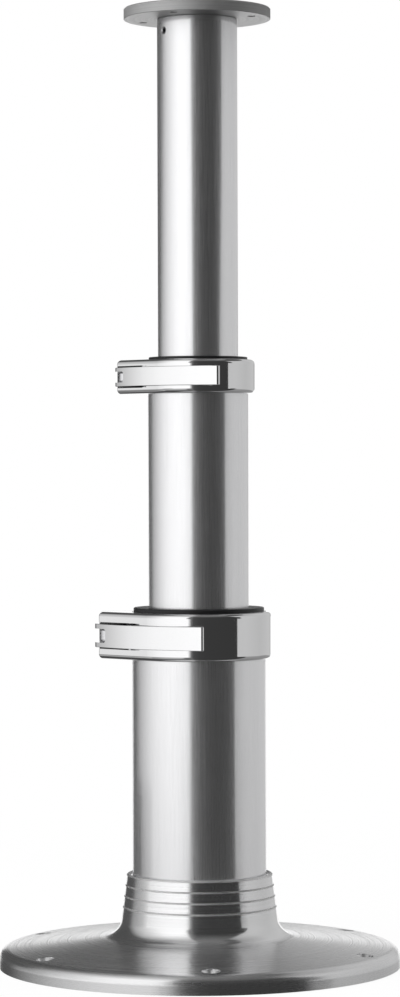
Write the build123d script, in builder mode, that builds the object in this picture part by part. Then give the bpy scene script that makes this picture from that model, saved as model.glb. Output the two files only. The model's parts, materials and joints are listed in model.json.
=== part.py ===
from build123d import *
from dataclasses import dataclass
from math import cos, radians, sin, sqrt, tan
import os

# Height adjustable table leg: three telescopic tubes on a dished base, two cam clamps, a top plate.
# Millimetres. The origin is the centre of the base's underside, +Z runs up the column, -Y is the front.
# An azimuth is an angle about +Z, measured from +X.

# Base casting
base_radius = 150.0
base_edge_height = 13.5
base_edge_fillet = 8.0
dish_angle = 6.2
dish_wall = 6.5
base_floor = 6.0
boss_height = 68.6
boss_lip_wall = 4.5
boss_taper = 7.0
boss_fillet = 14.3
boss_lip_depth = 1.6
boss_lip_width = 3.2
boss_edge_chamfer = 0.7
hub_foot_wall = 12.0
rim_land_width = 27.0
groove_count = 3
groove_pitch = 8.0
groove_width = 1.1
groove_depth = 0.55
base_screw_count = 6
base_screw_inset = 15.0
base_screw_hole = 6.5
base_screw_countersink = 13.5
base_screw_azimuth = -86.7

# Tubes
outer_tube_radius = 50.0
outer_tube_wall = 4.0
outer_tube_length = 258.5
middle_tube_radius = 37.5
middle_tube_wall = 3.0
middle_tube_length = 280.7
top_tube_radius = 30.0
top_tube_wall = 2.5
top_tube_length = 283.2
tube_end_chamfer = 0.6
clamp_slot_count = 4
clamp_slot_width = 3.0
clamp_slot_margin = 6.0

# Guide bushes at the tube tops, guide rings at the tube bottoms
lower_bush_flange = 3.2
lower_bush_reach = 70.0
upper_bush_flange = 2.0
upper_bush_reach = 15.0
bush_flange_setback = 1.1
bush_slit_width = 2.4
bush_slit_count = 3
bush_solid_collar = 4.0
middle_ring_height = 24.0
top_ring_height = 14.8
ring_lip_height = 2.0
ring_lip_setback = 0.6
ring_groove_width = 3.0
ring_groove_depth = 1.2

# Top plate and its screws
plate_radius = 55.0
plate_thickness = 8.0
plate_top_chamfer = 0.8
plate_edge_break = 0.3
plate_screw_count = 4
plate_screw_circle = 88.0
plate_screw_hole = 6.0
plate_screw_azimuth = 67.0
spigot_length = 22.0
spigot_wall = 6.5
grub_screw_count = 2
grub_screw_radius = 2.5
grub_screw_length = 6.4
grub_screw_drop = 10.2
grub_screw_azimuth = 214.0
grub_screw_sink = 0.5
grub_socket_flats = 2.5
grub_socket_depth = 2.6
grub_hole_flare = 45.0
nut_corner_angle = 30.0

# Clearances
bond_gap = 0.05
running_gap = 0.08
pin_gap = 0.05
stop_gap = 0.3
cam_gap = 0.15
bolt_gap = 0.3

# Heights, worked out from the bottom up
outer_tube_bottom = base_floor
outer_tube_top = outer_tube_bottom + outer_tube_length
lower_sleeve_bottom = outer_tube_top - lower_bush_reach
middle_ring_bottom = lower_sleeve_bottom - stop_gap - middle_ring_height
middle_tube_bottom = middle_ring_bottom + ring_lip_height
middle_tube_top = middle_tube_bottom + middle_tube_length
upper_sleeve_bottom = middle_tube_top - upper_bush_reach
top_ring_bottom = upper_sleeve_bottom - stop_gap - top_ring_height
top_tube_bottom = top_ring_bottom + ring_lip_height
top_tube_top = top_tube_bottom + top_tube_length

# Bores, worked out from the tubes
outer_tube_bore = outer_tube_radius - outer_tube_wall
middle_tube_bore = middle_tube_radius - middle_tube_wall
top_tube_bore = top_tube_radius - top_tube_wall


@dataclass
class Clamp:
    """Sizes of one cam clamp: a split collar, its cam lever and its eye bolt."""

    tube_radius: float
    top: float
    height: float
    ring_wall: float
    edge_fillet: float
    ear_tangent: float
    ear_nose: float
    ear_depth: float
    ear_fillet: float
    ring_land: float
    web: float
    split: float
    pocket_depth: float
    pocket_reach: float
    lever_height: float
    lever_gap: float
    lever_thickness: float
    lever_arc: float
    lever_rest: float
    lever_tip: float
    lever_edge: float
    ring_gap: float
    fork_angle: float
    cam_radius: float
    cam_offset: float
    prong: float
    notch_radius: float
    notch_fillet: float
    bolt_radius: float
    pin_radius: float
    eye_radius: float
    eye_fillet: float
    washer_size: float
    washer_thickness: float
    nut_flats: float
    nut_height: float
    bolt_end: float

    @property
    def middle(self):
        return self.top - self.height / 2

    @property
    def ring_outer(self):
        return self.tube_radius + bond_gap + self.ring_wall

    @property
    def rim_fillet(self):
        """Rounding of the collar's outer rims, which leaves a flat land beside the bore."""
        return min(self.edge_fillet, self.ring_wall - self.ring_land)

    @property
    def arc_centre(self):
        """Centre of the lever's arcs, on the far side of the tube from where the lever comes nearest."""
        distance = self.lever_arc - self.lever_thickness - self.ring_gap - self.ring_outer
        return Vector(distance * sin(radians(self.lever_rest)), distance * cos(radians(self.lever_rest)))

    @property
    def cam_centre(self):
        """Centre of the cam lobe, which lies inside the lever's outer arc and touches it."""
        distance = self.lever_arc - self.cam_radius
        return self.arc_centre + left_of_front(self.fork_angle, distance)

    @property
    def pivot(self):
        return self.cam_centre - Vector(0, self.cam_offset)

    @property
    def nose_x(self):
        return self.pivot.X - self.ear_nose

    @property
    def web_front(self):
        """Y of the face that the cam washer lies on."""
        return self.cam_centre.Y + self.cam_radius + cam_gap + self.washer_thickness

    @property
    def split_front(self):
        return self.web_front + self.web

    @property
    def ear_back(self):
        return self.split_front + self.split + self.ear_depth


def left_of_front(angle, distance):
    """Point at a distance from the column's axis, turned from the front (-Y) towards the left (-X)."""
    return Vector(-distance * sin(radians(angle)), -distance * cos(radians(angle)))


def corner(sketch, x, y):
    """Vertex of a sketch that lies nearest to a point."""
    return sketch.vertices().sort_by_distance((x, y))[0]


def facing_back(clamp, y):
    """Plane at a given Y on the eye bolt's axis, with its normal towards the back."""
    return Plane(origin=(clamp.pivot.X, y, clamp.middle), x_dir=(1, 0, 0), z_dir=(0, 1, 0))


def build_collar(clamp):
    """Split ring with two ears; the front one is slotted for the lever's fork."""
    touch = left_of_front(clamp.ear_tangent, clamp.ring_outer)
    slope = tan(radians(clamp.ear_tangent))
    front_y = touch.Y + (touch.X - clamp.nose_x) * slope
    back_x = -sqrt(clamp.ring_outer**2 - clamp.ear_back**2)
    back_angle = Vector(back_x, clamp.ear_back).get_signed_angle(Vector(-1, 0))
    bottom = clamp.top - clamp.height
    with BuildPart() as collar:
        with BuildSketch(Plane.XY.offset(bottom)) as outline:
            with BuildLine():
                CenterArc(
                    (0, 0),
                    clamp.ring_outer,
                    270 - clamp.ear_tangent,
                    270 + clamp.ear_tangent - abs(back_angle),
                )
                Polyline(
                    (back_x, clamp.ear_back),
                    (clamp.nose_x, clamp.ear_back),
                    (clamp.nose_x, front_y),
                    (touch.X, touch.Y),
                )
            make_face()
            fillet(corner(outline, back_x, clamp.ear_back), clamp.ear_fillet)
            fillet(corner(outline, clamp.nose_x, clamp.ear_back), clamp.ear_fillet)
            fillet(corner(outline, clamp.nose_x, front_y), clamp.ear_fillet / 2)
        extrude(amount=clamp.height)
        rims = collar.faces().sort_by(Axis.Z)
        fillet(rims[0].outer_wire().edges() + rims[-1].outer_wire().edges(), clamp.rim_fillet)
        with BuildSketch(Plane.XY.offset(bottom)):
            Circle(clamp.tube_radius + bond_gap)
        extrude(amount=clamp.height, mode=Mode.SUBTRACT)
        chamfer(collar.edges().filter_by(GeomType.CIRCLE).filter_by(
            lambda edge: edge.radius == clamp.tube_radius + bond_gap), tube_end_chamfer)
        # The split runs through the ring between the two ears
        with BuildSketch(Plane.XY.offset(bottom)):
            with Locations((clamp.nose_x, clamp.split_front)):
                Rectangle(-2 * clamp.nose_x, clamp.split, align=(Align.CENTER, Align.MIN))
        extrude(amount=clamp.height, mode=Mode.SUBTRACT)
        # Pocket for the lever, down to the web and a little into the ring's outer face
        pocket_height = clamp.lever_height + 2 * clamp.lever_gap
        with BuildSketch(Plane.XY.offset(clamp.middle - pocket_height / 2)):
            with Locations((clamp.pocket_reach, clamp.web_front)):
                Rectangle(-2 * clamp.nose_x, clamp.lever_arc, align=(Align.MAX, Align.MAX))
            Circle(clamp.ring_outer - clamp.pocket_depth, mode=Mode.SUBTRACT)
        extrude(amount=pocket_height, mode=Mode.SUBTRACT)
        # Bolt hole through both ears
        with BuildSketch(facing_back(clamp, clamp.web_front)):
            Circle(clamp.bolt_radius + bolt_gap)
        extrude(amount=clamp.ear_back - clamp.web_front, mode=Mode.SUBTRACT)
    return collar


def build_lever(clamp):
    """Curved bar between two arcs about one centre, ending in a cam lobe that is cut to a fork."""
    centre = (clamp.arc_centre.X, clamp.arc_centre.Y)
    inner_arc = clamp.lever_arc - clamp.lever_thickness
    tip_outer = clamp.arc_centre + left_of_front(clamp.lever_tip, clamp.lever_arc)
    tip_inner = clamp.arc_centre + left_of_front(clamp.lever_tip, inner_arc)
    sweep = clamp.fork_angle - clamp.lever_tip
    bottom = clamp.middle - clamp.lever_height / 2
    pivot = clamp.pivot
    with BuildPart() as lever:
        with BuildSketch(Plane.XY.offset(bottom)) as outline:
            with BuildLine():
                outer = CenterArc(centre, clamp.lever_arc, 270 - clamp.fork_angle, sweep)
                inner = CenterArc(centre, inner_arc, 270 - clamp.fork_angle, sweep)
                Line(outer @ 0, inner @ 0)
                Line(outer @ 1, inner @ 1)
            make_face()
            with Locations((clamp.cam_centre.X, clamp.cam_centre.Y)):
                Circle(clamp.cam_radius)
            fillet(corner(outline, tip_outer.X, tip_outer.Y), clamp.lever_thickness * 0.45)
            fillet(corner(outline, tip_inner.X, tip_inner.Y), clamp.lever_thickness * 0.2)
        extrude(amount=clamp.lever_height)
        rims = lever.faces().sort_by(Axis.Z)
        chamfer(rims[0].outer_wire().edges() + rims[-1].outer_wire().edges(), clamp.lever_edge)
        # Room for the bolt's eye and for its shank as the lever swings round it
        notch_height = clamp.lever_height - 2 * clamp.prong
        shank_side = clamp.bolt_radius + 2 * bolt_gap
        with BuildSketch(Plane.XY.offset(clamp.middle - notch_height / 2)):
            with Locations((pivot.X, pivot.Y)):
                Circle(clamp.notch_radius)
            with Locations((pivot.X + shank_side, pivot.Y)):
                Rectangle(4 * clamp.cam_radius, 2 * clamp.cam_radius, align=(Align.MAX, Align.MIN))
        extrude(amount=notch_height, mode=Mode.SUBTRACT)
        # The notch between the prongs, with a rounded root, seen from the front
        with BuildSketch(facing_back(clamp, pivot.Y - 2 * clamp.cam_radius)) as notch:
            root_x = -clamp.notch_radius / 4
            with Locations((root_x, 0)):
                Rectangle(3 * clamp.cam_radius, notch_height, align=(Align.MAX, Align.CENTER))
            fillet(notch.vertices().group_by(Axis.X)[-1], clamp.notch_fillet)
        extrude(amount=4 * clamp.cam_radius, mode=Mode.SUBTRACT)
        # Pin hole through both prongs
        with BuildSketch(Plane.XY.offset(bottom)):
            with Locations((pivot.X, pivot.Y)):
                Circle(clamp.pin_radius + pin_gap)
        extrude(amount=clamp.lever_height, mode=Mode.SUBTRACT)
    return lever


def build_pin(clamp):
    """Barrel pin through the fork and the bolt's eye."""
    with BuildPart() as pin:
        with BuildSketch(Plane.XY.offset(clamp.middle - clamp.lever_height / 2)):
            with Locations((clamp.pivot.X, clamp.pivot.Y)):
                Circle(clamp.pin_radius)
        extrude(amount=clamp.lever_height)
        chamfer(pin.edges().filter_by(GeomType.CIRCLE), clamp.pin_radius / 8)
    return pin


def build_bolt(clamp):
    """Eye bolt: the eye turns on the pin, the shank passes through both ears."""
    eye_height = clamp.lever_height - 2 * clamp.prong - 2 * stop_gap
    with BuildPart() as bolt:
        with BuildSketch(facing_back(clamp, clamp.pivot.Y)):
            Circle(clamp.bolt_radius)
        extrude(amount=clamp.bolt_end + clamp.ear_back - clamp.pivot.Y)
        chamfer(bolt.faces().sort_by(Axis.Y)[-1].edges(), clamp.bolt_radius / 5)
        with BuildSketch(Plane.XY.offset(clamp.middle - eye_height / 2)):
            with Locations((clamp.pivot.X, clamp.pivot.Y)):
                Circle(clamp.eye_radius)
        extrude(amount=eye_height)
        fillet(
            bolt.edges().filter_by(GeomType.CIRCLE).filter_by(
                lambda edge: edge.radius == clamp.eye_radius), clamp.eye_fillet)
        with BuildSketch(Plane.XY.offset(clamp.middle - eye_height / 2)):
            with Locations((clamp.pivot.X, clamp.pivot.Y)):
                Circle(clamp.pin_radius + pin_gap)
        extrude(amount=eye_height, mode=Mode.SUBTRACT)
    return bolt


def build_cam_washer(clamp):
    """Flat rounded plate on the web, pressed by the cam."""
    with BuildPart() as washer:
        with BuildSketch(facing_back(clamp, clamp.web_front - clamp.washer_thickness)):
            RectangleRounded(clamp.washer_size, clamp.washer_size, clamp.washer_size / 6)
            Circle(clamp.bolt_radius + bolt_gap, mode=Mode.SUBTRACT)
        extrude(amount=clamp.washer_thickness)
    return washer


def build_bolt_washer(clamp):
    """Round washer behind the rear ear."""
    with BuildPart() as washer:
        with BuildSketch(facing_back(clamp, clamp.ear_back)):
            Circle(clamp.washer_size / 2)
            Circle(clamp.bolt_radius + bolt_gap, mode=Mode.SUBTRACT)
        extrude(amount=clamp.washer_thickness)
    return washer


def build_nut(clamp):
    """Hexagon nut with its corners turned off at both faces, down to the flats."""
    front = clamp.ear_back + clamp.washer_thickness
    corner_radius = clamp.nut_flats / 2 / cos(radians(30))
    corner_drop = (corner_radius - clamp.nut_flats / 2) * tan(radians(nut_corner_angle))
    with BuildPart() as nut:
        with BuildSketch(facing_back(clamp, front)):
            RegularPolygon(clamp.nut_flats / 2, 6, major_radius=False)
        extrude(amount=clamp.nut_height)
        with BuildPart(mode=Mode.INTERSECT) as turned_blank:
            with BuildSketch(facing_back(clamp, front)):
                Circle(corner_radius)
            extrude(amount=clamp.nut_height)
            chamfer(
                turned_blank.edges().filter_by(GeomType.CIRCLE),
                length=corner_drop,
                length2=corner_radius - clamp.nut_flats / 2,
            )
        with BuildSketch(facing_back(clamp, front)):
            Circle(clamp.bolt_radius + bond_gap)
        extrude(amount=clamp.nut_height, mode=Mode.SUBTRACT)
    return nut


def save(piece, name):
    """Label a finished piece and write it to its own file."""
    piece.part.label = name
    export_step(piece.part, "parts/" + name + ".step")


lower_clamp = Clamp(
    tube_radius=outer_tube_radius,
    top=outer_tube_top,
    height=35.0,
    ring_wall=4.25,
    edge_fillet=3.6,
    ear_tangent=45.0,
    ear_nose=6.5,
    ear_depth=9.3,
    ear_fillet=3.0,
    ring_land=0.8,
    web=4.5,
    split=1.4,
    pocket_depth=0.4,
    pocket_reach=-44.0,
    lever_height=17.5,
    lever_gap=1.25,
    lever_thickness=4.0,
    lever_arc=139.0,
    lever_rest=31.6,
    lever_tip=16.3,
    lever_edge=0.3,
    ring_gap=0.4,
    fork_angle=58.5,
    cam_radius=9.5,
    cam_offset=1.0,
    prong=3.6,
    notch_radius=6.2,
    notch_fillet=1.4,
    bolt_radius=3.0,
    pin_radius=3.0,
    eye_radius=5.4,
    eye_fillet=1.8,
    washer_size=12.0,
    washer_thickness=1.0,
    nut_flats=10.0,
    nut_height=5.0,
    bolt_end=8.0,
)

upper_clamp = Clamp(
    tube_radius=middle_tube_radius,
    top=middle_tube_top,
    height=25.5,
    ring_wall=4.95,
    edge_fillet=3.4,
    ear_tangent=45.0,
    ear_nose=5.8,
    ear_depth=8.0,
    ear_fillet=2.6,
    ring_land=0.8,
    web=4.0,
    split=1.2,
    pocket_depth=0.4,
    pocket_reach=-38.7,
    lever_height=14.2,
    lever_gap=1.2,
    lever_thickness=4.0,
    lever_arc=108.3,
    lever_rest=31.6,
    lever_tip=8.9,
    lever_edge=0.3,
    ring_gap=0.4,
    fork_angle=59.4,
    cam_radius=7.2,
    cam_offset=0.8,
    prong=3.0,
    notch_radius=5.0,
    notch_fillet=1.2,
    bolt_radius=2.5,
    pin_radius=2.5,
    eye_radius=4.3,
    eye_fillet=1.5,
    washer_size=10.0,
    washer_thickness=1.0,
    nut_flats=8.0,
    nut_height=4.0,
    bolt_end=6.5,
)

os.makedirs("parts", exist_ok=True)

# Base: dished casting with a tapered boss, hollow underneath between the hub and the rim's land
boss_top_radius = outer_tube_radius + boss_lip_wall
dish_slope = tan(radians(dish_angle))
taper_slope = tan(radians(boss_taper))
foot_height = (
    base_edge_height + (base_radius - boss_top_radius - boss_height * taper_slope) * dish_slope
) / (1 - dish_slope * taper_slope)
foot_radius = boss_top_radius + (boss_height - foot_height) * taper_slope
base_bore = outer_tube_radius + bond_gap
base_screw_radius = base_radius - base_screw_inset
hub_foot_radius = outer_tube_radius + hub_foot_wall
rim_land_radius = base_radius - rim_land_width


def dish_height(radius):
    """Height of the dish's top face at a radius."""
    return base_edge_height + (base_radius - radius) * dish_slope


with BuildPart() as base_plate:
    with BuildSketch(Plane.XZ) as base_profile:
        with BuildLine():
            Polyline(
                (0, 0),
                (hub_foot_radius, 0),
                (hub_foot_radius, dish_height(hub_foot_radius) - dish_wall),
                (rim_land_radius, dish_height(rim_land_radius) - dish_wall),
                (rim_land_radius, 0),
                (base_radius, 0),
                (base_radius, base_edge_height),
                (foot_radius, foot_height),
                (boss_top_radius, boss_height),
                (boss_top_radius - boss_lip_wall + boss_lip_width - bond_gap, boss_height),
                (base_bore, boss_height - boss_lip_depth),
                (base_bore, base_floor),
                (0, base_floor),
                close=True,
            )
        make_face()
        fillet(corner(base_profile, foot_radius, foot_height), boss_fillet)
        fillet(corner(base_profile, base_radius, base_edge_height), base_edge_fillet)
        chamfer(corner(base_profile, boss_top_radius, boss_height), boss_edge_chamfer)
        for step in range(1, groove_count + 1):
            groove_height = boss_height - step * groove_pitch
            groove_radius = boss_top_radius + step * groove_pitch * taper_slope
            with Locations((groove_radius, groove_height)):
                Rectangle(2 * groove_depth, groove_width, mode=Mode.SUBTRACT)
    revolve(axis=Axis.Z)
    with Locations((0, 0, dish_height(base_screw_radius))):
        with PolarLocations(base_screw_radius, base_screw_count, base_screw_azimuth):
            CounterSinkHole(base_screw_hole / 2, base_screw_countersink / 2)
save(base_plate, "base_plate")


def build_tube(radius, bore, bottom, length):
    """Plain round tube with its end edges broken."""
    with BuildPart() as tube:
        with BuildSketch(Plane.XY.offset(bottom)):
            Circle(radius)
            Circle(bore, mode=Mode.SUBTRACT)
        extrude(amount=length)
        chamfer(tube.edges().filter_by(GeomType.CIRCLE), tube_end_chamfer)
    return tube


def build_clamped_tube(radius, bore, bottom, length, clamp):
    """Tube whose top end is slotted under its collar, so that the collar can close it."""
    slot_depth = clamp.height - clamp_slot_margin
    split_middle = clamp.split_front + clamp.split / 2
    split_direction = Vector(-sqrt(radius**2 - split_middle**2), split_middle)
    first_slot = Vector(1, 0).get_angle(split_direction)
    with BuildPart() as tube:
        add(build_tube(radius, bore, bottom, length).part)
        with BuildSketch(Plane.XY.offset(bottom + length - slot_depth)):
            with PolarLocations((radius + bore) / 2, clamp_slot_count, first_slot):
                Rectangle(2 * (radius - bore), clamp_slot_width)
        extrude(amount=slot_depth, mode=Mode.SUBTRACT)
    return tube


def build_bush(bore, sleeve_radius, flange_radius, seat, reach, flange):
    """Flanged guide bush: its sleeve hangs in a tube's top end, with slits so that it can close."""
    with BuildPart() as bush:
        with BuildSketch(Plane.XY.offset(seat - reach)):
            Circle(sleeve_radius)
        extrude(amount=reach)
        with BuildSketch(Plane.XY.offset(seat)):
            Circle(flange_radius)
        extrude(amount=flange)
        chamfer(bush.faces().sort_by(Axis.Z)[-1].edges(), flange / 6)
        with BuildSketch(Plane.XY.offset(seat - reach)):
            Circle(bore)
        extrude(amount=reach + flange, mode=Mode.SUBTRACT)
        with BuildSketch(Plane.XY.offset(seat - reach)):
            with PolarLocations((bore + sleeve_radius) / 2, bush_slit_count):
                Rectangle(2 * (sleeve_radius - bore), bush_slit_width)
        extrude(amount=reach - bush_solid_collar, mode=Mode.SUBTRACT)
    return bush


def build_guide_ring(tube_radius, tube_bore, ring_radius, bottom, height):
    """Plastic ring on a tube's lower end, with a lip under the tube wall and a grease groove."""
    with BuildPart() as ring:
        with BuildSketch(Plane.XZ):
            with BuildLine():
                Polyline(
                    (tube_bore + ring_lip_setback, bottom),
                    (ring_radius, bottom),
                    (ring_radius, bottom + height),
                    (tube_radius + bond_gap, bottom + height),
                    (tube_radius + bond_gap, bottom + ring_lip_height),
                    (tube_bore + ring_lip_setback, bottom + ring_lip_height),
                    close=True,
                )
            make_face()
            with Locations((ring_radius, bottom + height / 2)):
                Rectangle(2 * ring_groove_depth, ring_groove_width, mode=Mode.SUBTRACT)
        revolve(axis=Axis.Z)
    return ring


save(
    build_clamped_tube(
        outer_tube_radius, outer_tube_bore, outer_tube_bottom, outer_tube_length, lower_clamp
    ),
    "outer_tube",
)
save(
    build_clamped_tube(
        middle_tube_radius, middle_tube_bore, middle_tube_bottom, middle_tube_length, upper_clamp
    ),
    "middle_tube",
)

save(
    build_bush(
        middle_tube_radius + running_gap,
        outer_tube_bore - running_gap,
        outer_tube_radius - bush_flange_setback,
        outer_tube_top,
        lower_bush_reach,
        lower_bush_flange,
    ),
    "lower_guide_bush",
)
save(
    build_bush(
        top_tube_radius + running_gap,
        middle_tube_bore - running_gap,
        middle_tube_radius - bush_flange_setback / 2,
        middle_tube_top,
        upper_bush_reach,
        upper_bush_flange,
    ),
    "upper_guide_bush",
)
save(
    build_guide_ring(
        middle_tube_radius,
        middle_tube_bore,
        outer_tube_bore - running_gap,
        middle_ring_bottom,
        middle_ring_height,
    ),
    "middle_guide_ring",
)
save(
    build_guide_ring(
        top_tube_radius,
        top_tube_bore,
        middle_tube_bore - running_gap,
        top_ring_bottom,
        top_ring_height,
    ),
    "top_guide_ring",
)

# Top tube with holes for the grub screws, and the plate whose spigot they hold
grub_height = top_tube_top - grub_screw_drop
grub_reach = top_tube_radius - grub_screw_sink


def grub_planes():
    """Planes on the grub screws' outer ends, with their normals pointing outwards."""
    spread = 360 / grub_screw_count
    directions = [radians(grub_screw_azimuth + turn * spread) for turn in range(grub_screw_count)]
    return [
        Plane(
            origin=(grub_reach * cos(angle), grub_reach * sin(angle), grub_height),
            x_dir=(0, 0, 1),
            z_dir=(cos(angle), sin(angle), 0),
        )
        for angle in directions
    ]


with BuildPart() as top_tube:
    add(build_tube(top_tube_radius, top_tube_bore, top_tube_bottom, top_tube_length).part)
    with BuildSketch(*grub_planes()):
        Circle(grub_screw_radius + pin_gap)
    extrude(amount=top_tube_wall, both=True, mode=Mode.SUBTRACT)
    with BuildSketch(*grub_planes()):
        Circle(grub_screw_radius + pin_gap)
    extrude(amount=grub_screw_sink, taper=-grub_hole_flare, mode=Mode.SUBTRACT)
save(top_tube, "top_tube")

spigot_radius = top_tube_bore - bond_gap
with BuildPart() as top_plate:
    with BuildSketch(Plane.XY.offset(top_tube_top)):
        Circle(plate_radius)
    extrude(amount=plate_thickness)
    rims = top_plate.faces().sort_by(Axis.Z)
    chamfer(rims[0].edges(), plate_edge_break)
    chamfer(rims[-1].edges(), plate_top_chamfer)
    with BuildSketch(Plane.XY.offset(top_tube_top)):
        Circle(spigot_radius)
        Circle(spigot_radius - spigot_wall, mode=Mode.SUBTRACT)
    extrude(amount=-spigot_length)
    with BuildSketch(Plane.XY.offset(top_tube_top)):
        with PolarLocations(plate_screw_circle / 2, plate_screw_count, plate_screw_azimuth):
            Circle(plate_screw_hole / 2)
    extrude(amount=plate_thickness, mode=Mode.SUBTRACT)
    with BuildSketch(*grub_planes()):
        Circle(grub_screw_radius + pin_gap)
    extrude(amount=-grub_screw_length - top_tube_wall, mode=Mode.SUBTRACT)
save(top_plate, "top_plate")

with BuildPart() as plate_grub_screws:
    with BuildSketch(*grub_planes()):
        Circle(grub_screw_radius)
    extrude(amount=-grub_screw_length)
    with BuildSketch(*grub_planes()):
        RegularPolygon(grub_socket_flats / 2, 6, major_radius=False)
    extrude(amount=-grub_socket_depth, mode=Mode.SUBTRACT)
save(plate_grub_screws, "plate_grub_screws")

for side, clamp in (("lower", lower_clamp), ("upper", upper_clamp)):
    save(build_collar(clamp), side + "_clamp_collar")
    save(build_lever(clamp), side + "_clamp_lever")
    save(build_pin(clamp), side + "_lever_pin")
    save(build_bolt(clamp), side + "_clamp_bolt")
    save(build_cam_washer(clamp), side + "_cam_washer")
    save(build_bolt_washer(clamp), side + "_bolt_washer")
    save(build_nut(clamp), side + "_clamp_nut")
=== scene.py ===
import bpy
import json
import math
import numpy as np
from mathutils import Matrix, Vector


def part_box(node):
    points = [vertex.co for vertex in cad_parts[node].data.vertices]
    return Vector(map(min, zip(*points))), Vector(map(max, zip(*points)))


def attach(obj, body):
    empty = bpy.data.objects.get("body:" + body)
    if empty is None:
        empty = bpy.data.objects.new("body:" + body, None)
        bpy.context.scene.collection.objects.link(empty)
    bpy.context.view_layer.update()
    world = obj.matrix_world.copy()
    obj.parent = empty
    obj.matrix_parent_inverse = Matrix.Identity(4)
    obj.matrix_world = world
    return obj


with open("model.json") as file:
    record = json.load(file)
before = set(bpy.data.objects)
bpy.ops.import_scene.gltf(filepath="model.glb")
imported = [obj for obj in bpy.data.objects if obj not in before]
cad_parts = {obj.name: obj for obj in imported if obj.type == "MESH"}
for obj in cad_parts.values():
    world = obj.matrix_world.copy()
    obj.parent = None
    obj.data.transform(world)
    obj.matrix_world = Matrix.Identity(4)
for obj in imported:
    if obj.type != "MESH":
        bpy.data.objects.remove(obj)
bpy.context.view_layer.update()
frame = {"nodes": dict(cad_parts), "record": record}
print("frame loaded:", len(frame["nodes"]), "nodes")
mm = 0.001        # m
micron = 0.000001  # m

# Camera, level and far off, so that upright edges stay upright
cameraSettings = {
    "imageWidth": 400,          # px
    "imageHeight": 997,         # px
    "focal": 3350.0,            # px
    "distance": 2.510,          # m, from the column's axis
    "height": 0.372,            # m, above the floor
    "horizonRow": 468.0,        # px from the top
    "axisColumn": 198.4,        # px, where the column's axis crosses the horizon
    "lean": 0.18,               # degrees, the picture's small tilt
    "sensorWidth": 36.0,        # mm
    "clipStart": 0.05,          # m
    "clipEnd": 80.0,            # m
}


def makeCamera(s):
    # a level camera: the shift alone brings the horizon to its row and the axis to its column
    data = bpy.data.cameras.new("camera")
    longSide = max(s["imageWidth"], s["imageHeight"])
    data.sensor_width = s["sensorWidth"]
    data.lens = s["focal"] / longSide * s["sensorWidth"]
    data.shift_x = (s["imageWidth"] / 2 - s["axisColumn"]) / longSide
    data.shift_y = (s["horizonRow"] - s["imageHeight"] / 2) / longSide
    data.clip_start = s["clipStart"]
    data.clip_end = s["clipEnd"]
    camera = bpy.data.objects.new("camera", data)
    camera.location = (0, -s["distance"], s["height"])
    camera.rotation_euler = (math.radians(90), math.radians(s["lean"]), 0)
    bpy.context.scene.collection.objects.link(camera)
    bpy.context.scene.camera = camera


makeCamera(cameraSettings)
print("camera made")


# Meshes from grids of points

def meshFromGrid(name, points, closedAcross=False, closedEnds=False):
    # faces join point (i, j) to (i, j+1), (i+1, j+1) and (i+1, j), and wrap round where the rows are closed;
    # closed ends are fans of triangles from the first and the last row to their middles
    rows, columns = points.shape[:2]
    index = np.arange(rows * columns).reshape(rows, columns)
    if closedAcross:
        index = np.hstack([index, index[:, :1]])
    corners = np.stack([index[:-1, :-1], index[:-1, 1:], index[1:, 1:], index[1:, :-1]], axis=-1)
    places = points.reshape(-1, 3)
    faces = corners.reshape(-1, 4).tolist()
    if closedEnds:
        middles = np.stack([points[0].mean(axis=0), points[-1].mean(axis=0)])
        places = np.vstack([places, middles])
        first, last = index[0], index[-1]
        startPole = np.full(len(first) - 1, rows * columns)
        faces += np.stack([first[1:], first[:-1], startPole], axis=-1).tolist()
        faces += np.stack([last[:-1], last[1:], startPole + 1], axis=-1).tolist()
    mesh = bpy.data.meshes.new(name)
    mesh.from_pydata(places.tolist(), [], faces)
    mesh.update()
    return mesh


def addObject(name, mesh):
    piece = bpy.data.objects.new(name, mesh)
    bpy.context.scene.collection.objects.link(piece)
    return piece


# Node helpers

def newNode(tree, kind, inputs=None, **settings):
    node = tree.nodes.new(kind)
    for key, value in settings.items():
        setattr(node, key, value)
    for key, value in (inputs or {}).items():
        if isinstance(value, bpy.types.NodeSocket):
            tree.links.new(value, node.inputs[key])
        else:
            node.inputs[key].default_value = value
    return node


def newMath(tree, operation, first, second=0.0, third=0.0):
    node = newNode(tree, "ShaderNodeMath", {0: first, 1: second, 2: third}, operation=operation)
    return node.outputs[0]


def newGroup(name, inputs, outputs):
    # an empty shader group with named sockets, and its own input and output nodes
    group = bpy.data.node_groups.new(name, "ShaderNodeTree")
    for label, kind, value in inputs:
        socket = group.interface.new_socket(label, in_out="INPUT", socket_type=kind)
        if value is not None:
            socket.default_value = value
    for label, kind in outputs:
        group.interface.new_socket(label, in_out="OUTPUT", socket_type=kind)
    source = group.nodes.new("NodeGroupInput")
    sink = group.nodes.new("NodeGroupOutput")
    return group, source.outputs, sink.inputs


def newMaterial(name):
    material = bpy.data.materials.new(name)
    material.use_nodes = True
    return material, material.node_tree, material.node_tree.nodes["Principled BSDF"]


# Studio: a dome of panels round the object, and cards close to it. Azimuths and elevations are in degrees;
# azimuths are seen from above, 0 towards the camera, left positive.

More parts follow.
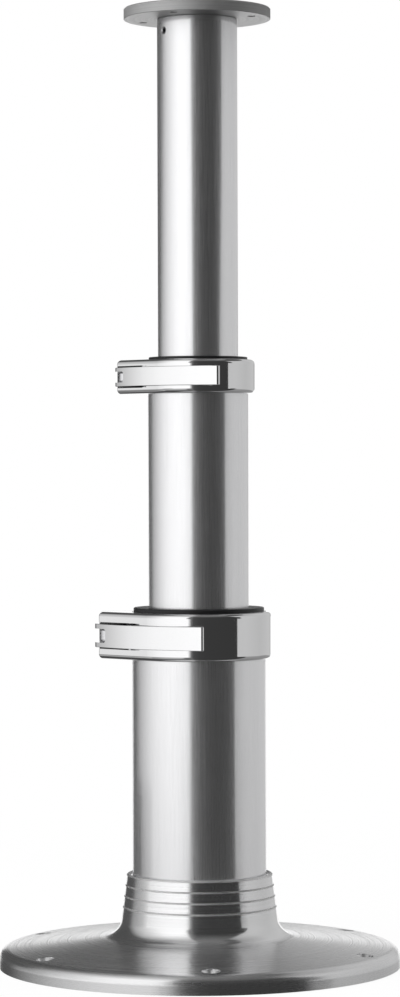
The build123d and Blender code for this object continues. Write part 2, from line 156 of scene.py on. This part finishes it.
studio = {
    "domeRadius": 9.0,           # m
    "azimuthStep": 0.5,
    "elevationStep": 1.5,
    "levelStep": 0.5,            # the finer step near the horizon, up to the level band's height
    "levelBand": 13.5,
    "cardStep": 1.0,
    # pairs of azimuth and radiance: dark card in front with a soft glow beside it,
    # then the tall soft panel on the left
    "frontCard": [(-60.0, 0.045), (-12.0, 0.048), (0.0, 0.055), (9.0, 0.08), (12.0, 0.18)],
    "leftPanel": [(12.0, 0.18), (17.5, 1.26), (42.0, 1.24), (66.0, 1.17), (85.0, 1.02),
                  (115.0, 0.60), (124.0, 0.47), (131.0, 0.30), (138.0, 0.13)],
    # the left panel's light by elevation: dimmer towards the floor and towards the ceiling
    "leftGain": [(-60.0, 0.12), (-34.0, 0.22), (-26.0, 0.45), (-9.0, 0.45), (-7.3, 0.71), (-5.0, 0.84),
                 (-2.0, 0.98), (0.0, 1.0), (42.0, 1.0), (60.0, 0.66), (72.0, 0.45), (90.0, 0.40)],
    # grey wall on the right, its light by elevation, and how far it reaches past its last azimuth
    "rightPanel": [(-180.0, 0.14), (-167.0, 0.24), (-157.0, 0.54), (-145.0, 0.62), (-130.0, 0.60),
                   (-112.0, 0.58), (-80.0, 0.64), (-65.0, 0.64)],
    "rightGain": [(-60.0, 0.40), (-9.0, 0.55), (-7.4, 1.0), (38.0, 1.0), (57.0, 0.70), (75.0, 0.28),
                  (90.0, 0.24)],
    "rightReach": 2.0,
    "darkSlot": 0.088,           # past the left panel's far edge, up to the sweep behind
    # away from the level the left panel's far part turns to the front, its near edge away from the front,
    # and the right wall's edge to the back: tables by elevation in degrees of azimuth
    "leanFrom": 5.0,
    "leanFull": 11.0,
    "leftLean": 15.0,
    "farPartFrom": 50.0,         # azimuth where the left panel's far part begins
    "farPartBlend": 20.0,
    "nearLean": [(-8.2, 9.0), (-7.0, 0.0), (6.0, 0.0), (12.0, 4.0)],
    "rightLean": [(-8.0, 17.0), (-7.4, 3.0), (-6.0, 0.0), (5.0, 0.0), (9.0, 11.0), (25.0, 10.0), (42.0, 4.0)],
    # grey ceiling by elevation, with one soft patch of light
    "ceiling": [(36.0, 0.0), (42.0, 0.06), (51.0, 0.11), (63.0, 0.155), (75.0, 0.20), (90.0, 0.22)],
    "patchAzimuth": 105.0,
    "patchElevation": 76.0,
    "patchWidth": 12.0,
    "patchLevel": 0.56,
    # pale sweep straight behind, an arch: its half width by elevation
    "sweepLevel": 1.10,
    "sweepHalfWidth": [(-20.0, 13.0), (-9.0, 13.0), (-6.0, 20.0), (-3.0, 22.0), (3.0, 15.0), (9.0, 5.0),
                       (13.0, -5.0)],
    "sweepSoftness": 5.0,
    "lampSize": 2.4,             # m
    "lampHeight": 2.6,           # m
    "lampPower": 60.0,           # W
}
# cards close to the object, seen only in its reflections: a dark one high on the right, one low on the left;
# radius, bottom and top in metres, levels in pairs of azimuth and radiance
cards = [
    {"name": "highCard", "radius": 0.40, "bottom": 0.757, "top": 1.15,
     "levels": [(-175.0, 0.10), (-62.0, 0.10)]},
    {"name": "lowCard", "radius": 0.50, "bottom": 0.0, "top": 0.095,
     "levels": [(80.0, 0.90), (88.0, 0.60), (97.0, 0.48), (108.0, 0.38), (113.0, 0.28), (117.0, 0.14),
                (122.0, 0.10), (152.0, 0.10)]},
]


def alongTable(table, place):
    # the value at each place, on straight runs between the table's pairs
    pairs = np.array(table)
    return np.interp(place, pairs[:, 0], pairs[:, 1])


def aimed(azimuth, elevation):
    # direction = (-sin a cos e, -cos a cos e, sin e), a the azimuth and e the elevation in degrees
    a, e = np.radians(azimuth), np.radians(elevation)
    return np.stack([-np.sin(a) * np.cos(e), -np.cos(a) * np.cos(e), np.sin(e)], axis=-1)


def panelRadiance(azimuth, elevation, s):
    # radiance = panel's level at the leant azimuth x its gain at the elevation, never under the ceiling
    # or its patch, then blended into the sweep behind
    lean = np.clip((np.abs(elevation) - s["leanFrom"]) / (s["leanFull"] - s["leanFrom"]), 0, 1)
    farPart = np.clip((azimuth - s["farPartFrom"]) / s["farPartBlend"], 0, 1)
    onLeft = azimuth + s["leftLean"] * lean * farPart - alongTable(s["nearLean"], elevation) * (1 - farPart)
    onRight = azimuth + alongTable(s["rightLean"], elevation)
    left = alongTable(s["leftPanel"], onLeft) * alongTable(s["leftGain"], elevation)
    right = alongTable(s["rightPanel"], onRight) * alongTable(s["rightGain"], elevation)
    level = alongTable(s["frontCard"], azimuth)
    level = np.where(onLeft > s["leftPanel"][0][0], left, level)
    level = np.where(onLeft > s["leftPanel"][-1][0], s["darkSlot"], level)
    level = np.where(onRight < s["rightPanel"][-1][0] + s["rightReach"], right, level)
    level = np.maximum(level, alongTable(s["ceiling"], elevation))
    toPatch = aimed(azimuth, elevation) @ aimed(s["patchAzimuth"], s["patchElevation"])
    away = np.degrees(np.arccos(np.clip(toPatch, -1, 1)))
    level = np.maximum(level, s["patchLevel"] * np.exp(-(away / s["patchWidth"]) ** 2))
    halfWidth = alongTable(s["sweepHalfWidth"], elevation)
    inSweep = np.clip((halfWidth - (180 - np.abs(azimuth))) / s["sweepSoftness"] + 0.5, 0, 1)
    return level * (1 - inSweep) + s["sweepLevel"] * inSweep


def makePanelMaterial():
    # plain light of the strength that the mesh's radiance attribute gives
    material = bpy.data.materials.new("studioPanels")
    material.use_nodes = True
    tree = material.node_tree
    tree.nodes.clear()
    reading = newNode(tree, "ShaderNodeAttribute", attribute_name="radiance")
    glow = newNode(tree, "ShaderNodeEmission", {"Strength": reading.outputs["Fac"]})
    newNode(tree, "ShaderNodeOutputMaterial", {"Surface": glow.outputs[0]})
    return material


def addPanel(name, points, level, material):
    # a surface that lights the object and shows in its reflections, and is otherwise unseen
    mesh = meshFromGrid(name, points)
    attribute = mesh.attributes.new("radiance", "FLOAT", "POINT")
    attribute.data.foreach_set("value", level.ravel().astype(np.float32))
    mesh.materials.append(material)
    panel = addObject(name, mesh)
    panel.visible_camera = False
    panel.visible_shadow = False
    return panel


def makeDome(s, material):
    # point = radius x direction, over every azimuth and elevation
    azimuth = np.arange(-180, 180 + s["azimuthStep"] / 2, s["azimuthStep"])
    band = s["levelBand"]
    level = np.arange(-band, band, s["levelStep"])
    above = np.arange(band, 90 + s["elevationStep"] / 2, s["elevationStep"])
    e, a = np.meshgrid(np.concatenate([-above[::-1], level[1:], above]), azimuth, indexing="ij")
    addPanel("studioDome", s["domeRadius"] * aimed(a, e), panelRadiance(a, e, s), material)


def makeCard(s, step, material):
    # part of an upright cylinder: point = radius x direction at the azimuth, between two heights
    azimuth = np.arange(s["levels"][0][0], s["levels"][-1][0] + step / 2, step)
    z, a = np.meshgrid(np.array([s["bottom"], s["top"]]), azimuth, indexing="ij")
    points = s["radius"] * aimed(a, 0 * a)
    points[..., 2] = z
    card = addPanel(s["name"], points, alongTable(s["levels"], a), material)
    card.visible_diffuse = False  # in reflections only


def makeWorld():
    # plain white background; the dome stands in front of it for all but the camera
    world = bpy.data.worlds.new("studioWorld")
    bpy.context.scene.world = world
    world.use_nodes = True
    background = world.node_tree.nodes["Background"]
    background.inputs["Color"].default_value = (1, 1, 1, 1)
    background.inputs["Strength"].default_value = 1.0


floorSettings = {
    "side": 40.0,                # m
    "color": (0.90, 0.90, 0.90),
    "roughness": 0.9,
    "nearGlow": 0.86,            # share of plain white seen near the object, which leaves its shadow showing
    "farGlow": 1.0,
    "nearRadius": 0.25,          # m
    "farRadius": 1.1,            # m
}


def makeFloor(s):
    # one square; the share of plain white rises smoothly with the distance from the column
    half = s["side"] / 2
    points = np.array([[(-half, -half, 0), (half, -half, 0)], [(-half, half, 0), (half, half, 0)]])
    floor = addObject("floor", meshFromGrid("floor", points))
    floor.visible_glossy = False  # the panels reach below the floor's level in reflections
    material, tree, shader = newMaterial("paleFloor")
    shader.inputs["Base Color"].default_value = (*s["color"], 1)
    shader.inputs["Roughness"].default_value = s["roughness"]
    shader.inputs["Specular IOR Level"].default_value = 0.0
    coords = newNode(tree, "ShaderNodeTexCoord")
    away = newNode(tree, "ShaderNodeVectorMath", {0: coords.outputs["Object"]}, operation="LENGTH")
    white = newNode(tree, "ShaderNodeMapRange",
                    {"Value": away.outputs["Value"], "From Min": s["nearRadius"], "From Max": s["farRadius"],
                     "To Min": s["nearGlow"], "To Max": s["farGlow"]},
                    interpolation_type="SMOOTHSTEP")
    glow = newNode(tree, "ShaderNodeEmission", {"Color": (1, 1, 1, 1), "Strength": 1.0})
    path = newNode(tree, "ShaderNodeLightPath")
    seen = newMath(tree, "MAXIMUM", path.outputs["Is Camera Ray"], path.outputs["Is Glossy Ray"])
    seen = newMath(tree, "MAXIMUM", seen, path.outputs["Is Transmission Ray"])
    share = newMath(tree, "MULTIPLY", seen, white.outputs["Result"])
    mix = newNode(tree, "ShaderNodeMixShader", {"Fac": share, 1: shader.outputs[0], 2: glow.outputs[0]})
    tree.links.new(mix.outputs[0], tree.nodes["Material Output"].inputs["Surface"])
    floor.data.materials.append(material)


def makeLamp(s):
    # wide soft lamp overhead, for the floor's light and the object's faint shadow
    data = bpy.data.lights.new("overheadLamp", "AREA")
    data.shape = "DISK"
    data.size = s["lampSize"]
    data.energy = s["lampPower"]
    lamp = bpy.data.objects.new("overheadLamp", data)
    lamp.location = (0, 0, s["lampHeight"])
    lamp.visible_glossy = False
    bpy.context.scene.collection.objects.link(lamp)


panelMaterial = makePanelMaterial()
makeDome(studio, panelMaterial)
for card in cards:
    makeCard(card, studio["cardStep"], panelMaterial)
makeWorld()
makeFloor(floorSettings)
makeLamp(studio)
print("studio made")


# Surface effects that several finishes share. Heights are in metres.

surfaceInputs = [
    ("Vector", "NodeSocketVector", None),
    ("Color", "NodeSocketColor", (0.8, 0.8, 0.8, 1)),
    ("Tint", "NodeSocketFloat", 0.05),
    ("Polished", "NodeSocketFloat", 0.08),
    ("Satin", "NodeSocketFloat", 0.35),
    ("Satin Level", "NodeSocketFloat", 0.5),
    ("Fineness", "NodeSocketFloat", 1500.0),
    ("Depth", "NodeSocketFloat", 0.5 * micron),
]
surfaceOutputs = [
    ("Color", "NodeSocketColor"),
    ("Roughness", "NodeSocketFloat"),
    ("Height", "NodeSocketFloat"),
]
finishLabels = ("Color", "Tint", "Polished", "Satin", "Satin Level", "Depth")
finishEdge = 0.035     # half the soft edge between polished and satin, on the mask's scale
noiseDetail = 3.0


def makeTwoFinishes():
    # roughness = satin where the mask is below the level, polished above it, with a narrow soft edge;
    # colour = colour x (1 + tint x (mask - 0.5)); height = mask x depth
    group, given, result = newGroup(
        "twoFinishes",
        [("Mask", "NodeSocketFloat", 0.5)] + [row for row in surfaceInputs if row[0] in finishLabels],
        surfaceOutputs)
    low = newMath(group, "SUBTRACT", given["Satin Level"], finishEdge)
    high = newMath(group, "ADD", given["Satin Level"], finishEdge)
    blend = newNode(group, "ShaderNodeMapRange",
                    {"Value": given["Mask"], "From Min": low, "From Max": high,
                     "To Min": given["Satin"], "To Max": given["Polished"]})
    centred = newMath(group, "SUBTRACT", given["Mask"], 0.5)
    shade = newMath(group, "MULTIPLY_ADD", centred, given["Tint"], 1.0)
    tinted = newNode(group, "ShaderNodeVectorMath", {0: given["Color"], "Scale": shade}, operation="SCALE")
    group.links.new(tinted.outputs[0], result["Color"])
    group.links.new(blend.outputs["Result"], result["Roughness"])
    group.links.new(newMath(group, "MULTIPLY", given["Mask"], given["Depth"]), result["Height"])
    return group


twoFinishes = makeTwoFinishes()


def finishFromNoise(group, given, result, place):
    # shared end of the surface groups: noise at the place, then the two finishes
    noise = newNode(group, "ShaderNodeTexNoise",
                    {"Vector": place, "Scale": given["Fineness"], "Detail": noiseDetail})
    both = newNode(group, "ShaderNodeGroup", node_tree=twoFinishes)
    group.links.new(noise.outputs["Fac"], both.inputs["Mask"])
    for label in finishLabels:
        group.links.new(given[label], both.inputs[label])
    for label, _ in surfaceOutputs:
        group.links.new(both.outputs[label], result[label])


def makeStreaks():
    # fine drawn lines along Z: noise of (x, y, z x stretch), the stretch well under 1
    group, given, result = newGroup(
        "drawnStreaks", surfaceInputs + [("Stretch", "NodeSocketFloat", 0.01)], surfaceOutputs)
    parts = newNode(group, "ShaderNodeSeparateXYZ", {0: given["Vector"]})
    squeezed = newMath(group, "MULTIPLY", parts.outputs["Z"], given["Stretch"])
    place = newNode(group, "ShaderNodeCombineXYZ",
                    {"X": parts.outputs["X"], "Y": parts.outputs["Y"], "Z": squeezed})
    finishFromNoise(group, given, result, place.outputs[0])
    return group


def makeRings():
    # turned lines about Z: noise of (distance from the axis, 0, z), so it is the same all the way round
    group, given, result = newGroup(
        "turnedRings", surfaceInputs, surfaceOutputs + [("Radius", "NodeSocketFloat")])
    parts = newNode(group, "ShaderNodeSeparateXYZ", {0: given["Vector"]})
    flat = newNode(group, "ShaderNodeCombineXYZ", {"X": parts.outputs["X"], "Y": parts.outputs["Y"]})
    radius = newNode(group, "ShaderNodeVectorMath", {0: flat.outputs[0]}, operation="LENGTH").outputs["Value"]
    place = newNode(group, "ShaderNodeCombineXYZ", {"X": radius, "Z": parts.outputs["Z"]})
    finishFromNoise(group, given, result, place.outputs[0])
    group.links.new(radius, result["Radius"])
    return group


def makeGrain():
    # even grain: noise of (x, y, z), for polished castings, moulded plastic and plated steel
    group, given, result = newGroup("evenGrain", surfaceInputs, surfaceOutputs)
    finishFromNoise(group, given, result, given["Vector"])
    return group


rippleNoise = {
    "detail": 1.0,
    "cloudDetail": 4.0,
    "cloudDistortion": 0.8,
}


def makeRipple(s):
    # the polisher's slow unevenness: height = coarse noise x depth, roughness to add = cloudy noise x clouding
    group, given, result = newGroup(
        "polishRipple",
        [("Vector", "NodeSocketVector", None), ("Fineness", "NodeSocketFloat", 60.0),
         ("Depth", "NodeSocketFloat", 5 * micron), ("Clouding", "NodeSocketFloat", 0.03)],
        [("Height", "NodeSocketFloat"), ("Roughness", "NodeSocketFloat")])
    noise = newNode(group, "ShaderNodeTexNoise",
                    {"Vector": given["Vector"], "Scale": given["Fineness"], "Detail": s["detail"]})
    cloud = newNode(group, "ShaderNodeTexNoise",
                    {"Vector": given["Vector"], "Scale": given["Fineness"], "Detail": s["cloudDetail"],
                     "Distortion": s["cloudDistortion"]})
    group.links.new(newMath(group, "MULTIPLY", noise.outputs["Fac"], given["Depth"]), result["Height"])
    clouded = newMath(group, "MULTIPLY", cloud.outputs["Fac"], given["Clouding"])
    group.links.new(clouded, result["Roughness"])
    return group


streaks = makeStreaks()
rings = makeRings()
grain = makeGrain()
ripple = makeRipple(rippleNoise)
print("surface effects made")


# Finishes. Polished and satin are the two roughnesses that meet at satinLevel of the noise, tint is how far
# the colour follows it, fineness its scale per metre and depth its height; clouding adds slow roughness.

surfaceKeys = {
    "Tint": "tint", "Polished": "polished", "Satin": "satin", "Satin Level": "satinLevel",
    "Fineness": "fineness", "Depth": "depth", "Stretch": "stretch",
}


def setSurface(tree, shader, effect, s):
    # the finish's own values on one effect group, plus the ripple, into the shader's sockets
    coords = newNode(tree, "ShaderNodeTexCoord")
    surface = newNode(tree, "ShaderNodeGroup", node_tree=effect)
    tree.links.new(coords.outputs["Object"], surface.inputs["Vector"])
    surface.inputs["Color"].default_value = (*s["color"], 1)
    for label, key in surfaceKeys.items():
        if key in s:
            surface.inputs[label].default_value = s[key]
    slow = newNode(tree, "ShaderNodeGroup", node_tree=ripple)
    tree.links.new(coords.outputs["Object"], slow.inputs["Vector"])
    slow.inputs["Fineness"].default_value = s["rippleFineness"]
    slow.inputs["Depth"].default_value = s["rippleDepth"]
    slow.inputs["Clouding"].default_value = s["clouding"]
    height = newMath(tree, "ADD", surface.outputs["Height"], slow.outputs["Height"])
    roughness = newMath(tree, "ADD", surface.outputs["Roughness"], slow.outputs["Roughness"])
    bump = newNode(tree, "ShaderNodeBump", {"Height": height, "Strength": 1.0, "Distance": 1.0})
    tree.links.new(surface.outputs["Color"], shader.inputs["Base Color"])
    tree.links.new(roughness, shader.inputs["Roughness"])
    tree.links.new(bump.outputs[0], shader.inputs["Normal"])
    shader.inputs["Metallic"].default_value = s["metallic"]
    return surface, roughness, bump


def paintedLightWhere(tree, mask, color, shade):
    # painted light: colour x (1 + mask x (shade - 1)), lighter where the mask is on and shade is over 1
    factor = newNode(tree, "ShaderNodeMapRange", {"Value": mask, "To Min": 1.0, "To Max": shade})
    shaded = newNode(tree, "ShaderNodeVectorMath", {0: color, "Scale": factor.outputs["Result"]},
                     operation="SCALE")
    return shaded.outputs[0]


def chosen(tree, test, off, on):
    # off + test x (on - off)
    mix = newNode(tree, "ShaderNodeMix", {"Factor": test, "A": off, "B": on})
    return mix.outputs["Result"]


def turned(tree, shader, anisotropy):
    # turning marks run round the axis, so the blur is across them: the tangent is turned a quarter
    shader.inputs["Anisotropic"].default_value = anisotropy
    shader.inputs["Anisotropic Rotation"].default_value = 0.25
    around = newNode(tree, "ShaderNodeTangent", direction_type="RADIAL", axis="Z")
    tree.links.new(around.outputs[0], shader.inputs["Tangent"])


baseProfile = {
    "bossNormal": (0.99255, 0.12187),       # outwards and up, on the boss's taper of 7 degrees
    "footTop": 34.52 * mm,                  # height where the boss's wall meets the foot's hollow fillet
    "footEnd": 71.33 * mm,                  # radius where that fillet meets the dish
    "footMiddle": (72.88 * mm, 36.26 * mm),  # the fillet's centre, radius and height
    "dishNormal": (0.10800, 0.99415),       # on the dish's slope of 6.2 degrees
    "rimStart": 142.86 * mm,
    "rimMiddle": (142.0 * mm, 6.32 * mm),   # centre of the rim's round edge
    "agree": 0.96,                          # how closely it must follow the mesh's own normal
}


def makeTurnedNormal(s):
    # exact normal of the turned base: (x / r x out, y / r x out, up), normalised, where (out, up) is
    # the boss's, (foot centre - point), the dish's or (point - rim centre) by height and radius;
    # the mesh's own normal stays in holes, grooves and chamfers, where the two part
    group, given, result = newGroup(
        "turnedNormal",
        [("Vector", "NodeSocketVector", None), ("Radius", "NodeSocketFloat", 0.1),
         ("Mesh Normal", "NodeSocketVector", None)],
        [("Normal", "NodeSocketVector")])
    radius = given["Radius"]
    place = newNode(group, "ShaderNodeSeparateXYZ", {0: given["Vector"]})
    height = place.outputs["Z"]
    onRim = newMath(group, "GREATER_THAN", radius, s["rimStart"])
    pastFoot = newMath(group, "GREATER_THAN", radius, s["footEnd"])
    onBoss = newMath(group, "GREATER_THAN", height, s["footTop"])
    rim = (newMath(group, "SUBTRACT", radius, s["rimMiddle"][0]),
           newMath(group, "MAXIMUM", newMath(group, "SUBTRACT", height, s["rimMiddle"][1]), 0.0))
    foot = (newMath(group, "SUBTRACT", s["footMiddle"][0], radius),
            newMath(group, "SUBTRACT", s["footMiddle"][1], height))
    pair = []
    for k in range(2):
        level = chosen(group, onRim, s["dishNormal"][k], rim[k])
        level = chosen(group, pastFoot, foot[k], level)
        pair.append(chosen(group, onBoss, level, s["bossNormal"][k]))
    out = newMath(group, "DIVIDE", pair[0], radius)
    x = newMath(group, "MULTIPLY", place.outputs["X"], out)
    y = newMath(group, "MULTIPLY", place.outputs["Y"], out)
    aim = newNode(group, "ShaderNodeCombineXYZ", {"X": x, "Y": y, "Z": pair[1]})
    turnedAim = newNode(group, "ShaderNodeVectorTransform", {0: aim.outputs[0]}, vector_type="NORMAL",
                        convert_from="OBJECT", convert_to="WORLD")
    unit = newNode(group, "ShaderNodeVectorMath", {0: turnedAim.outputs[0]}, operation="NORMALIZE")
    exact = unit.outputs[0]
    own = given["Mesh Normal"]
    both = newNode(group, "ShaderNodeVectorMath", {0: exact, 1: own}, operation="DOT_PRODUCT")
    near = newMath(group, "GREATER_THAN", both.outputs["Value"], s["agree"])
    mixed = newNode(group, "ShaderNodeMix", {"Factor": near, 4: own, 5: exact}, data_type="VECTOR")
    group.links.new(mixed.outputs[1], result["Normal"])  # 4, 5 and 1 are the vector sockets
    return group


turnedNormal = makeTurnedNormal(baseProfile)

castAluminium = {
    "metallic": 1.0, "color": (0.80, 0.80, 0.805), "tint": 0.10,
    "polished": 0.10, "satin": 0.24, "satinLevel": 0.48, "fineness": 3600.0,
    "depth": 0.2 * micron, "rippleFineness": 30.0, "rippleDepth": 8 * micron, "clouding": 0.04,
    "anisotropy": 0.80,
    # roughness to add on the dish and on the rim, and the radii between which each comes in
    "dishDuller": 0.08, "dishFrom": 62 * mm, "dishFull": 74 * mm,
    "rimDuller": 0.08, "rimFrom": 140 * mm, "rimFull": 145 * mm,
    # scored lines in the boss's grooves: the top one's height, their pitch, number and half width
    "lineTop": 68.4 * mm, "linePitch": 8 * mm, "lineCount": 3, "lineHalf": 0.7 * mm,
    # the lines' roughness, and a factor that brightens their colour as painted light
    "lineRoughness": 0.80, "linePaintedLight": 1.5,
}


def makeCastAluminium(s):
    # roughness = turned + dish's duller x ramp past the foot x (1 - ramp onto the rim)
    # + rim's duller x ramp onto the rim;
    # scored line where the height to the nearest of the boss's lines is under half a line: rougher, and its
    # colour made brighter there as painted light
    material, tree, shader = newMaterial("castAluminium")
    surface, roughness, bump = setSurface(tree, shader, rings, s)
    radius = surface.outputs["Radius"]
    pastFoot = newNode(tree, "ShaderNodeMapRange",
                       {"Value": radius, "From Min": s["dishFrom"], "From Max": s["dishFull"]},
                       interpolation_type="SMOOTHSTEP")
    insideRim = newNode(tree, "ShaderNodeMapRange",
                        {"Value": radius, "From Min": s["rimFrom"], "From Max": s["rimFull"],
                         "To Min": 1.0, "To Max": 0.0},
                        interpolation_type="SMOOTHSTEP")
    onDish = newMath(tree, "MULTIPLY", pastFoot.outputs["Result"], insideRim.outputs["Result"])
    roughness = newMath(tree, "MULTIPLY_ADD", onDish, s["dishDuller"], roughness)
    onRim = newMath(tree, "SUBTRACT", 1.0, insideRim.outputs["Result"])
    roughness = newMath(tree, "MULTIPLY_ADD", onRim, s["rimDuller"], roughness)
    coords = newNode(tree, "ShaderNodeTexCoord")
    exact = newNode(tree, "ShaderNodeGroup", node_tree=turnedNormal)
    geometry = newNode(tree, "ShaderNodeNewGeometry")
    tree.links.new(coords.outputs["Object"], exact.inputs["Vector"])
    tree.links.new(radius, exact.inputs["Radius"])
    tree.links.new(geometry.outputs["Normal"], exact.inputs["Mesh Normal"])
    tree.links.new(exact.outputs["Normal"], bump.inputs["Normal"])
    parts = newNode(tree, "ShaderNodeSeparateXYZ", {0: coords.outputs["Object"]})
    down = newMath(tree, "SUBTRACT", s["lineTop"], parts.outputs["Z"])
    steps = newMath(tree, "DIVIDE", down, s["linePitch"])
    nearest = newMath(tree, "MULTIPLY", newMath(tree, "PINGPONG", steps, 0.5), s["linePitch"])
    onLine = newMath(tree, "LESS_THAN", nearest, s["lineHalf"])
    onBoss = newMath(tree, "LESS_THAN", steps, s["lineCount"] + 0.5)
    line = newMath(tree, "MULTIPLY", onLine, onBoss)
    lined = chosen(tree, line, roughness, s["lineRoughness"])
    # painted light: the scored lines' colour brightened by its factor
    color = paintedLightWhere(tree, line, surface.outputs["Color"], s["linePaintedLight"])
    tree.links.new(color, shader.inputs["Base Color"])
    tree.links.new(lined, shader.inputs["Roughness"])
    turned(tree, shader, s["anisotropy"])
    return material


plateAluminium = {
    "metallic": 1.0, "color": (0.50, 0.50, 0.50), "tint": 0.15,
    "polished": 0.40, "satin": 0.55, "satinLevel": 0.50, "fineness": 1600.0,
    "depth": 0.8 * micron, "rippleFineness": 40.0, "rippleDepth": 4 * micron, "clouding": 0.04,
    "anisotropy": 0.1,
    "edgeInset": 0.9 * mm,       # the plate's edge wall and its corners, from the plate's radius
    # painted light: the edge wall's colour brightened by this factor
    "edgePaintedLight": 1.38,
    "edgeDuller": 0.20,
}


def makePlateAluminium(s):
    # on the edge wall, where the radius is over the plate's less the inset:
    # colour x the painted light factor, a painted lighter edge, and roughness + duller
    material, tree, shader = newMaterial("plateAluminium")
    surface, roughness, _ = setSurface(tree, shader, rings, s)
    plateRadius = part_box("top_plate")[1][0]
    edge = newMath(tree, "GREATER_THAN", surface.outputs["Radius"], plateRadius - s["edgeInset"])
    # painted light on the edge wall: its colour brightened
    color = paintedLightWhere(tree, edge, surface.outputs["Color"], s["edgePaintedLight"])
    roughness = newMath(tree, "MULTIPLY_ADD", edge, s["edgeDuller"], roughness)
    tree.links.new(color, shader.inputs["Base Color"])
    tree.links.new(roughness, shader.inputs["Roughness"])
    turned(tree, shader, s["anisotropy"])
    return material


# the plain finishes: drawn tube, polished castings, moulded plastic, plated and blackened steel
anodisedTube = {
    "metallic": 1.0, "color": (0.93, 0.93, 0.94), "tint": 0.02,
    "polished": 0.11, "satin": 0.42, "satinLevel": 0.50, "fineness": 100000.0, "stretch": 0.00016,
    "depth": 0.1 * micron, "rippleFineness": 25.0, "rippleDepth": 4 * micron, "clouding": 0.03,
}
polishedAluminium = {
    "metallic": 1.0, "color": (0.80, 0.80, 0.805), "tint": 0.03,
    "polished": 0.035, "satin": 0.10, "satinLevel": 0.42, "fineness": 1200.0,
    "depth": 0.05 * micron, "rippleFineness": 45.0, "rippleDepth": 6 * micron, "clouding": 0.03,
}
blackPlastic = {
    "metallic": 0.0, "color": (0.013, 0.013, 0.014), "tint": 0.4,
    "polished": 0.30, "satin": 0.46, "satinLevel": 0.50, "fineness": 1300.0,
    "depth": 1.5 * micron, "rippleFineness": 60.0, "rippleDepth": 8 * micron, "clouding": 0.06,
    "specular": 0.38,
}
brightSteel = {
    "metallic": 1.0, "color": (0.70, 0.70, 0.715), "tint": 0.10,
    "polished": 0.14, "satin": 0.30, "satinLevel": 0.50, "fineness": 1800.0,
    "depth": 0.6 * micron, "rippleFineness": 150.0, "rippleDepth": 2 * micron, "clouding": 0.05,
}
darkSteel = {
    "metallic": 1.0, "color": (0.11, 0.11, 0.115), "tint": 0.20,
    "polished": 0.28, "satin": 0.45, "satinLevel": 0.50, "fineness": 1500.0,
    "depth": 0.8 * micron, "rippleFineness": 200.0, "rippleDepth": 2 * micron, "clouding": 0.05,
}


def makePlainFinish(name, effect, s):
    # the same finish all over the piece: one effect group with its own values
    material, tree, shader = newMaterial(name)
    setSurface(tree, shader, effect, s)
    if "specular" in s:
        shader.inputs["Specular IOR Level"].default_value = s["specular"]
    return material


finishes = {
    "cast_aluminium": makeCastAluminium(castAluminium),
    "anodised_tube": makePlainFinish("anodisedTube", streaks, anodisedTube),
    "polished_aluminium": makePlainFinish("polishedAluminium", grain, polishedAluminium),
    "plate_aluminium": makePlateAluminium(plateAluminium),
    "black_plastic": makePlainFinish("blackPlastic", grain, blackPlastic),
    "bright_steel": makePlainFinish("brightSteel", grain, brightSteel),
    "dark_steel": makePlainFinish("darkSteel", grain, darkSteel),
}
for row in frame["record"]["subparts"]:
    node = frame["nodes"][row["node"]]
    node.data.materials.clear()
    node.data.materials.append(finishes[row["material_slot"]])
print("finishes made:", len(finishes))


# Screw threads on the ends of the two clamp bolts, behind their nuts

boltThreads = [
    {"name": "lowerBoltThread", "bolt": "lower_clamp_bolt", "nut": "lower_clamp_nut", "body": "base",
     "coreRadius": 3.0 * mm, "pitch": 0.8 * mm},
    {"name": "upperBoltThread", "bolt": "upper_clamp_bolt", "nut": "upper_clamp_nut", "body": "middle_stage",
     "coreRadius": 2.5 * mm, "pitch": 0.7 * mm},
]
threadShape = {
    "proud": 0.22 * mm,        # the crest above the bolt's own surface
    "around": 48,              # points in a turn
    "perPitch": 10,            # rows in a pitch
    "skin": 0.03 * mm,         # the least that the thread stands off the bolt
    "endChamfer": 0.2,         # of the bolt's radius, as on the bolt itself
}


def threadRadius(turn, along, length, s, shape):
    # radius = core + proud x ridge, ridge = 1 - |2 frac(along / pitch - turn) - 1|,
    # and no more than the cone of the bolt's own end chamfer
    phase = along / s["pitch"] - turn
    ridge = 1 - np.abs(2 * (phase - np.floor(phase)) - 1)
    cone = s["coreRadius"] * (1 - shape["endChamfer"]) + length - along
    return np.minimum(s["coreRadius"] + shape["proud"] * ridge, cone) + shape["skin"]


def makeBoltThread(s, shape):
    # point = axis + radius(turn, along) x (cos, sin) across Y, from inside the nut to the bolt's end
    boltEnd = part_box(s["bolt"])[1][1]
    nutLow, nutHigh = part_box(s["nut"])
    axisX = (nutLow[0] + nutHigh[0]) / 2
    axisZ = (nutLow[2] + nutHigh[2]) / 2
    start = nutHigh[1] - s["pitch"]
    length = boltEnd + shape["skin"] - start
    rows = int(length / s["pitch"] * shape["perPitch"]) + 2
    turn = np.arange(shape["around"]) / shape["around"]
    t, u = np.meshgrid(np.linspace(0, length, rows), turn, indexing="ij")
    radius = threadRadius(u, t, length, s, shape)
    angle = 2 * math.pi * u
    across, down = axisX + radius * np.cos(angle), axisZ - radius * np.sin(angle)
    points = np.stack([across, start + t, down], axis=-1)
    mesh = meshFromGrid(s["name"], points, closedAcross=True, closedEnds=True)
    piece = addObject(s["name"], mesh)
    mesh.materials.append(finishes["bright_steel"])
    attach(piece, s["body"])


for thread in boltThreads:
    makeBoltThread(thread, threadShape)
print("bolt threads made:", len(boltThreads))

bpy.context.scene.view_settings.view_transform = "Standard"
